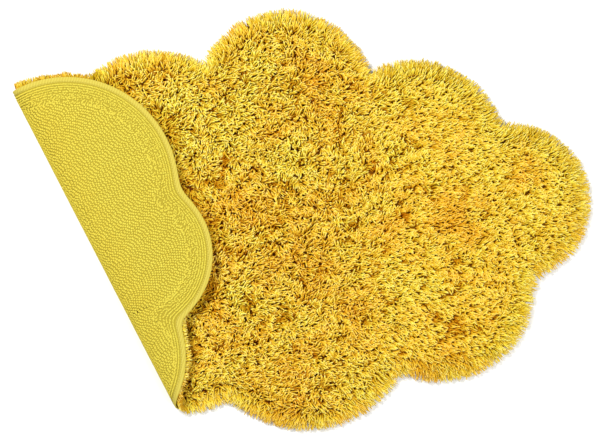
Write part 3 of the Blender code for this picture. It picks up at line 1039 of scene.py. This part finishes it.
def strand_tubes(lines, radii):
    """Tubes of a few sides round the strands' lines: a ring at each station and a point at the tip."""
    ahead = np.gradient(lines, axis=1)[:, :RINGS]
    ahead /= np.maximum(np.linalg.norm(ahead, axis=2, keepdims=True), 1e-9)
    aside = np.cross(ahead, (0.0, 0.0, 1.0))
    aside += np.cross(ahead, (0.9, 0.3, 0.0)) * 0.05  # so that an upright strand has an aside too
    aside /= np.maximum(np.linalg.norm(aside, axis=2, keepdims=True), 1e-9)
    over = np.cross(aside, ahead)
    turn = np.arange(SIDES) * 2 * math.pi / SIDES
    radius = (radii[:, None] * FULLNESS)[..., None, None]
    ring = aside[:, :, None] * np.cos(turn)[:, None] + over[:, :, None] * np.sin(turn)[:, None]
    rings = (lines[:, :RINGS, None] + ring * radius).reshape(len(lines), RINGS * SIDES, 3)
    return np.concatenate([rings, lines[:, RINGS:]], axis=1)


def strand_mesh(name, lines, radii, shades, spans, material):
    """Joins strands into one piece. u is the shade's column; v runs over the strand's own span of it."""
    points = strand_tubes(lines, radii)
    k = np.arange(SIDES)
    n = (k + 1) % SIDES
    ring = np.arange(RINGS - 1)[:, None] * SIDES
    quads = np.stack([ring + k, ring + n, ring + SIDES + n, ring + SIDES + k], axis=-1).reshape(-1, 4)
    tip = RINGS * SIDES
    caps = np.column_stack([tip - SIDES + k, tip - SIDES + n, np.full(SIDES, tip)])
    caps = np.vstack([caps, [(0, j + 1, j) for j in range(1, SIDES - 1)]])
    v = np.append(np.repeat(STATIONS[:RINGS], SIDES), 1.0)
    cap_v = v[caps]
    cap_v[SIDES:, 2] = 0.03
    v_root, v_tip = spans.T[..., None, None]
    lengthwise = [blend(v_root, v_tip, part) for part in (v[quads], cap_v)]
    faces = repeated((quads, caps), len(points), tip + 1)
    uvs = shade_uvs(shades, lengthwise, (0.0, 1.0, 0.5))
    return put_mesh(name, points.reshape(-1, 3), faces, uvs, [material])


def shag_material(settings):
    """Cut cotton shag yarn: soft, matt, painted shade of deep orange at the root, pale lemon at the tip.
    """
    return yarn_material(
        "cut cotton shag yarn",
        [
            # painted shade: root and deep colours darken the yarn low in the pile; the pale tip is partly
            # a painted highlight
            (0.0, settings.root_painted_shade), (0.32, settings.deep_painted_shade),
            (0.72, settings.yarn_colour), (1.0, settings.tip_colour_and_highlight),
        ],
        [(0.0, (0.95, 0.74, 0.5, 1)), (0.5, (1.0, 0.98, 0.95, 1)), (1.0, (0.98, 1.10, 1.25, 1))],
        # painted shade tint for the lowest strands, painted light for the highest
        [(0.82, 0.64, 0.10, 1), (1.12, 1.12, 1.08, 1)],
        Roughness=0.85, Specular_IOR_Level=0.03,
    )


def strand_shades(roots, combed, level, settings, random):
    """Each strand's column of the yarn's UV map, and the span of v from its root to its tip.

    The hue drifts in patches of three sizes and from clump to clump, and turns to lemon at the top, on
    the right and near the turned end. Close beside that end and in the parted spots it is more orange,
    and a strand's tip is as dark as its middle: painted shade. The patch beside that end is painted
    more orange as shade, its far fringe more orange and darker, and near that end the strands are
    painted lighter. Strands low in the pile are darker, a painted shade.
    """
    count = len(roots)
    patch = sum(lattice_noise(roots, size, seed=51 + number) for number, size in enumerate(PATCHES))
    clump = nearest_clump(roots, settings.clump_pitch, SEED + 2)[1][:, 1]
    # painted shade: in the parted spots the strands are more orange and darker
    spots = parted(roots)
    ground = floor_places(roots)
    turned = roots[:, 0] > BEND_LENGTH * 0.5
    # painted shade on the far fringe under the turned end: more orange and darker
    far_fringe_painted_shade = turned & (ground[:, 1] > 0)
    cover = flap_cover(roots)
    # painted light near the turned end, with a more lemon hue
    near_flap_lemon_and_painted_light = smooth_step((cover + 0.11) / 0.06)
    # painted shade beside the turned end's edge, in uneven patches: more orange, darker, tips like
    # middles
    uneven = smooth_step(0.75 + lattice_noise(roots, 0.030, seed=57))
    flap_edge_painted_shade = np.where(turned, 0.0, smooth_step((cover + 0.026) / 0.012) * uneven)
    # painted shade: more orange in the patch beside the turned end
    orange = near_place(ground, ORANGE_SHADE_PATCH, 1.5, 0.035)
    right = right_share(ground)
    hue = 5.5 + 0.45 * random.normal(0, 1, count) + 3.2 * patch + 1.1 * clump
    hue = hue + 0.4 * combed + 0.8 * combed * (1 - combed)
    hue -= 1.5 * spots
    hue += 3.0 * smooth_step((ground[:, 1] - 0.04) / 0.15) + 1.6 * near_flap_lemon_and_painted_light
    hue += 2.8 * right - 1.2 * flap_edge_painted_shade - 0.7 * orange
    hue += np.where(turned, 1.5, 0.0) - np.where(far_fringe_painted_shade, 5.5, 0.0)
    hues = np.clip(hue, 0, HUES - 1).astype(int)
    # painted light and shade: strands low in the pile and under the rim's top layer are darker
    painted_lightness = 0.25 + 0.75 * level + random.normal(0, 0.16, count) - 0.22 * flap_edge_painted_shade
    painted_lightness += 0.80 * combed * (level - 0.5) - 0.36 * combed ** 3 - 0.15 * spots
    painted_lightness += np.where(turned, 0.0, 0.16 * near_flap_lemon_and_painted_light - 0.14 * right)
    painted_lightness -= np.where(far_fringe_painted_shade, 0.45, 0.0)
    shades = hues * LIGHTS + np.clip(painted_lightness * LIGHTS, 0, LIGHTS - 1).astype(int)
    # painted shade: in the parted spots and beside the turned end a tip takes its strand's deeper colour
    tip_painted_shade = np.maximum(0.62 * spots, 0.40 * flap_edge_painted_shade) * random.uniform(0.3, 1.0, count)
    return shades, np.column_stack([0.22 * combed * ~turned, 1 - tip_painted_shade * ~turned])


def make_shag(settings):
    """All the strands, joined into pieces by where they stand along the rug."""
    random = np.random.default_rng(SEED)
    roots = strand_roots(settings, random)
    short = (random.uniform(0, 1, len(roots)) < settings.short_share) & (pile_depth(roots) > 0.04)
    strands = strand_lines(roots, short, settings, random)
    fillers = thin_places(strands[0], settings.fillers, random)
    more = strand_lines(fillers, np.full(len(fillers), True), settings, random)
    roots = np.vstack([roots, fillers])
    lines, combed, level = (np.concatenate(pair) for pair in zip(strands, more))
    radii = settings.yarn_thickness / 2 * random.uniform(2 - THICKEST, THICKEST, len(roots))
    radii *= 1 - 0.30 * combed
    shades, spans = strand_shades(roots, combed, level, settings, random)
    world = folded(lines)
    turned = roots[:, 0] > BEND_LENGTH * 0.5
    order = np.argsort(roots[:, 0] + 10 * turned, kind="stable")
    lying = order[: int((~turned).sum())]
    names = ("shag_far_right", "shag_right", "shag_middle", "shag_left")
    parts = dict(zip(names, np.array_split(lying, len(names))))
    parts["shag_turned_rim"] = order[len(lying):]
    material = shag_material(settings)
    return [
        strand_mesh(name, world[part], radii[part], shades[part], spans[part], material)
        for name, part in parts.items()
    ]


def dressed(piece, node=None):
    """Every piece rides on the rug's one body; the CAD part that it stands in for, if any, is hidden."""
    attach(piece, "root")
    if node:
        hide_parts(node)
    return piece


class RugClothSettings(bpy.types.PropertyGroup):
    hem_width: a_length("Hem width", "Width of the turned hem", 0.0095, min=0.004, max=0.02)
    hem_rise: a_length("Hem rise", "How far the hem's double cloth stands off the back", 0.0005)
    row_pitch: a_length("Row pitch", "From one slanting row of stitches to the next", 0.0034)
    edge_row_pitch: a_length("Edge row pitch", "From one row along the edge to the next", 0.0045)
    edge_rows: IntProperty(name="Edge rows", description="Rows of stitches along the edge", default=8)
    edge_stitch: a_length(
        "Edge stitch", "From one stitch to the next in the rows along the edge", 0.0030,
    )
    stitch_pitch: a_length("Stitch pitch", "From one stitch to the next in its row", 0.0060)
    stitch_rise: a_length("Stitch rise", "How far a stitch stands off the cloth", 0.0010)
    stitch_colour: a_colour("Stitch colour", "Colour of the stitches' tops", "#d2c349")
    # painted shade at each stitch's dive; also the bricks' second tone and the thread's colour
    stitch_tone_and_shade: a_colour("Stitch shade", "Colour of the stitches' ends", "#b2a02c")
    # painted shade: the groove colour is the cloth's own colour darkened for the shade between stitches
    groove_cloth_and_shade: a_colour("Groove colour", "Colour of the cloth between the stitches", "#a6942c")
    hem_colour: a_colour("Hem colour", "Colour of the hem's cloth", "#c2b34c")
    hem_shade: a_colour("Hem shade", "Colour between the hem's threads", "#b8a640")


class RugPileSettings(bpy.types.PropertyGroup):
    root_pitch: a_length("Root pitch", "From one strand's root to the next", 0.0037)
    yarn_thickness: a_length("Yarn thickness", "Thickness of a strand", 0.0037)
    strand_reach: a_length("Strand reach", "How far a strand leans over in the open", 0.0155)
    rim_reach: a_length("Rim reach", "How far a strand runs outwards at the rim", 0.022)
    combed_width: a_length("Combed width", "Width of the rim over which strands turn outwards", 0.032)
    clump_pitch: a_length("Clump pitch", "From one clump of strands to the next", 0.0150)
    curl: a_length("Curl", "How far a strand's tip curls aside", 0.0075)
    gather: a_number("Gather", "Share of the way to its clump that a tip is drawn", 0.12, min=0, max=1)
    flow_angle: a_number("Flow angle", "The way the pile leans on the whole, in degrees", 35.0)
    short_share: a_number(
        "Short share", "Share of the strands that are short and stand low", 0.22, min=0, max=1,
    )
    fillers: IntProperty(
        name="Fillers", description="Number of short strands set where the pile parts", min=0,
        default=4200,
    )
    bed_share: a_number(
        "Packed share", "Share of the pile's height that is packed solid", 0.58, min=0.1, max=0.95,
    )
    # painted shade: the packed colours darken the yarn deep in the pile, less on the right
    bed_painted_shade: a_colour("Packed colour", "Colour of the yarn packed deep in the pile", "#542a06")
    shallow_bed_painted_shade: a_colour(
        "Shallow packed colour", "Colour of the packed yarn where the pile is closer", "#8c5a10",
    )
    # painted shade in the root and deep colours; the tip colour is the cut tip with a painted highlight
    root_painted_shade: a_colour("Root colour", "Colour of the yarn at its root", "#702c02")
    deep_painted_shade: a_colour("Deep colour", "Colour of the yarn low in the pile", "#ba840e")
    yarn_colour: a_colour("Yarn colour", "Colour of the yarn", "#e2c83e")
    tip_colour_and_highlight: a_colour("Tip colour", "Colour of the yarn's cut tips", "#efda82")


class RugStudioSettings(bpy.types.PropertyGroup):
    frame_width: a_length("Frame width", "Width of floor that the picture shows", 1.11)
    camera_height: a_length("Camera height", "Height of the camera over the rug", 7.0)
    key_power: a_number("Key light", "Power of the main soft light", 126.0, unit="POWER")
    fill_power: a_number("Fill light", "Power of the soft light opposite", 80.0, unit="POWER")
    sky_strength: a_number("Room light", "Strength of the even light from all round", 0.52)
    floor_colour: a_colour("Floor colour", "Colour of the plain floor", "#f2f2f0")


class RUG_OT_backing(bpy.types.Operator):
    """Makes the cotton backing cloth, folded over at its left end"""

    bl_idname = "rug.backing"
    bl_label = "Backing cloth"

    def execute(self, context):
        dressed(make_backing(context.scene.rug_cloth), "backing")
        return {"FINISHED"}


class RUG_OT_stitches(bpy.types.Operator):
    """Makes the stitches and the hem's thread that show on the turned end"""

    bl_idname = "rug.stitches"
    bl_label = "Stitches on the back"

    def execute(self, context):
        dressed(make_edge_rows(context.scene.rug_cloth))
        dressed(make_stitches(context.scene.rug_cloth))
        dressed(make_hem_thread(context.scene.rug_cloth))
        return {"FINISHED"}


class RUG_OT_bed(bpy.types.Operator):
    """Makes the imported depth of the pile"""

    bl_idname = "rug.bed"
    bl_label = "Packed pile"

    def execute(self, context):
        dressed(make_bed(context.scene.rug_pile), "pile")
        return {"FINISHED"}


class RUG_OT_shag(bpy.types.Operator):
    """Makes the shag's strands"""

    bl_idname = "rug.shag"
    bl_label = "Shag strands"

    def execute(self, context):
        for piece in make_shag(context.scene.rug_pile):
            dressed(piece)
        return {"FINISHED"}


FLOOR_HALF = 9.0
FLOOR_LEVEL = -0.0004  # a little under the cloth, so that the two don't share a plane
SENSOR = 36  # mm
KEY = ((-1.5, 1.5, 3.0), 1.1)  # place and size
FILL = ((2.4, -1.0, 2.6), 2.2)  # place and size


def soft_light(name, place, size, power):
    """A square area light that looks at the middle of the rug, unseen by the camera."""
    data = bpy.data.lights.new(name, "AREA")
    data.size = size
    data.energy = power
    light = bpy.data.objects.new(name, data)
    light.location = place
    light.rotation_euler = (-light.location).to_track_quat("-Z", "Y").to_euler()
    light.visible_camera = False
    bpy.context.scene.collection.objects.link(light)


class RUG_OT_stage(bpy.types.Operator):
    """Makes the plain floor, the soft lights and the camera straight above"""

    bl_idname = "rug.stage"
    bl_label = "Floor, lights and camera"

    def execute(self, context):
        settings = context.scene.rug_studio
        ways = ((-1, -1), (1, -1), (1, 1), (-1, 1))
        corners = [(FLOOR_HALF * x, FLOOR_HALF * y, FLOOR_LEVEL) for x, y in ways]
        mesh = bpy.data.meshes.new("floor")
        mesh.from_pydata(corners, [], [(0, 1, 2, 3)])
        material, _, shader = new_material("matt studio floor", Roughness=0.8)
        shader.inputs["Base Color"].default_value = settings.floor_colour
        mesh.materials.append(material)
        floor = bpy.data.objects.new("floor", mesh)
        context.scene.collection.objects.link(floor)
        soft_light("key", *KEY, settings.key_power)
        soft_light("fill", *FILL, settings.fill_power)
        world = bpy.data.worlds.new("studio")
        world.use_nodes = True
        sky = world.node_tree.nodes["Background"]
        sky.inputs["Color"].default_value = (1, 1, 1, 1)
        sky.inputs["Strength"].default_value = settings.sky_strength
        context.scene.world = world
        data = bpy.data.cameras.new("camera")
        data.sensor_width = SENSOR
        data.lens = SENSOR * settings.camera_height / settings.frame_width
        data.clip_end = 100
        camera = bpy.data.objects.new("camera", data)
        camera.location = (0, 0, settings.camera_height)
        context.scene.collection.objects.link(camera)
        context.scene.camera = camera
        context.scene.view_settings.view_transform = "Standard"
        return {"FINISHED"}


class RUG_PT_panel(bpy.types.Panel):
    """The rug's sizes and colours, and the pieces that it is made from"""

    bl_idname = "RUG_PT_panel"
    bl_label = "Cloud shag rug"
    bl_space_type = "VIEW_3D"
    bl_region_type = "UI"
    bl_category = "Rug"

    def draw(self, context):
        for kind in (context.scene.rug_cloth, context.scene.rug_pile, context.scene.rug_studio):
            box = self.layout.box()
            for name in kind.__annotations__:
                box.prop(kind, name)
        for operator in OPERATORS:
            self.layout.operator(operator.bl_idname)


OPERATORS = (RUG_OT_stage, RUG_OT_backing, RUG_OT_stitches, RUG_OT_bed, RUG_OT_shag)
GROUPS = {"rug_cloth": RugClothSettings, "rug_pile": RugPileSettings, "rug_studio": RugStudioSettings}
CLASSES = (*GROUPS.values(), *OPERATORS, RUG_PT_panel)


def register():
    for kind in CLASSES:
        bpy.utils.register_class(kind)
    for name, kind in GROUPS.items():
        setattr(bpy.types.Scene, name, PointerProperty(type=kind))


def unregister():
    for name in GROUPS:
        delattr(bpy.types.Scene, name)
    for kind in reversed(CLASSES):
        bpy.utils.unregister_class(kind)


def main():
    register()
    bpy.ops.rug.stage()
    bpy.ops.rug.backing()
    bpy.ops.rug.stitches()
    bpy.ops.rug.bed()
    bpy.ops.rug.shag()


if __name__ == "__main__":
    main()
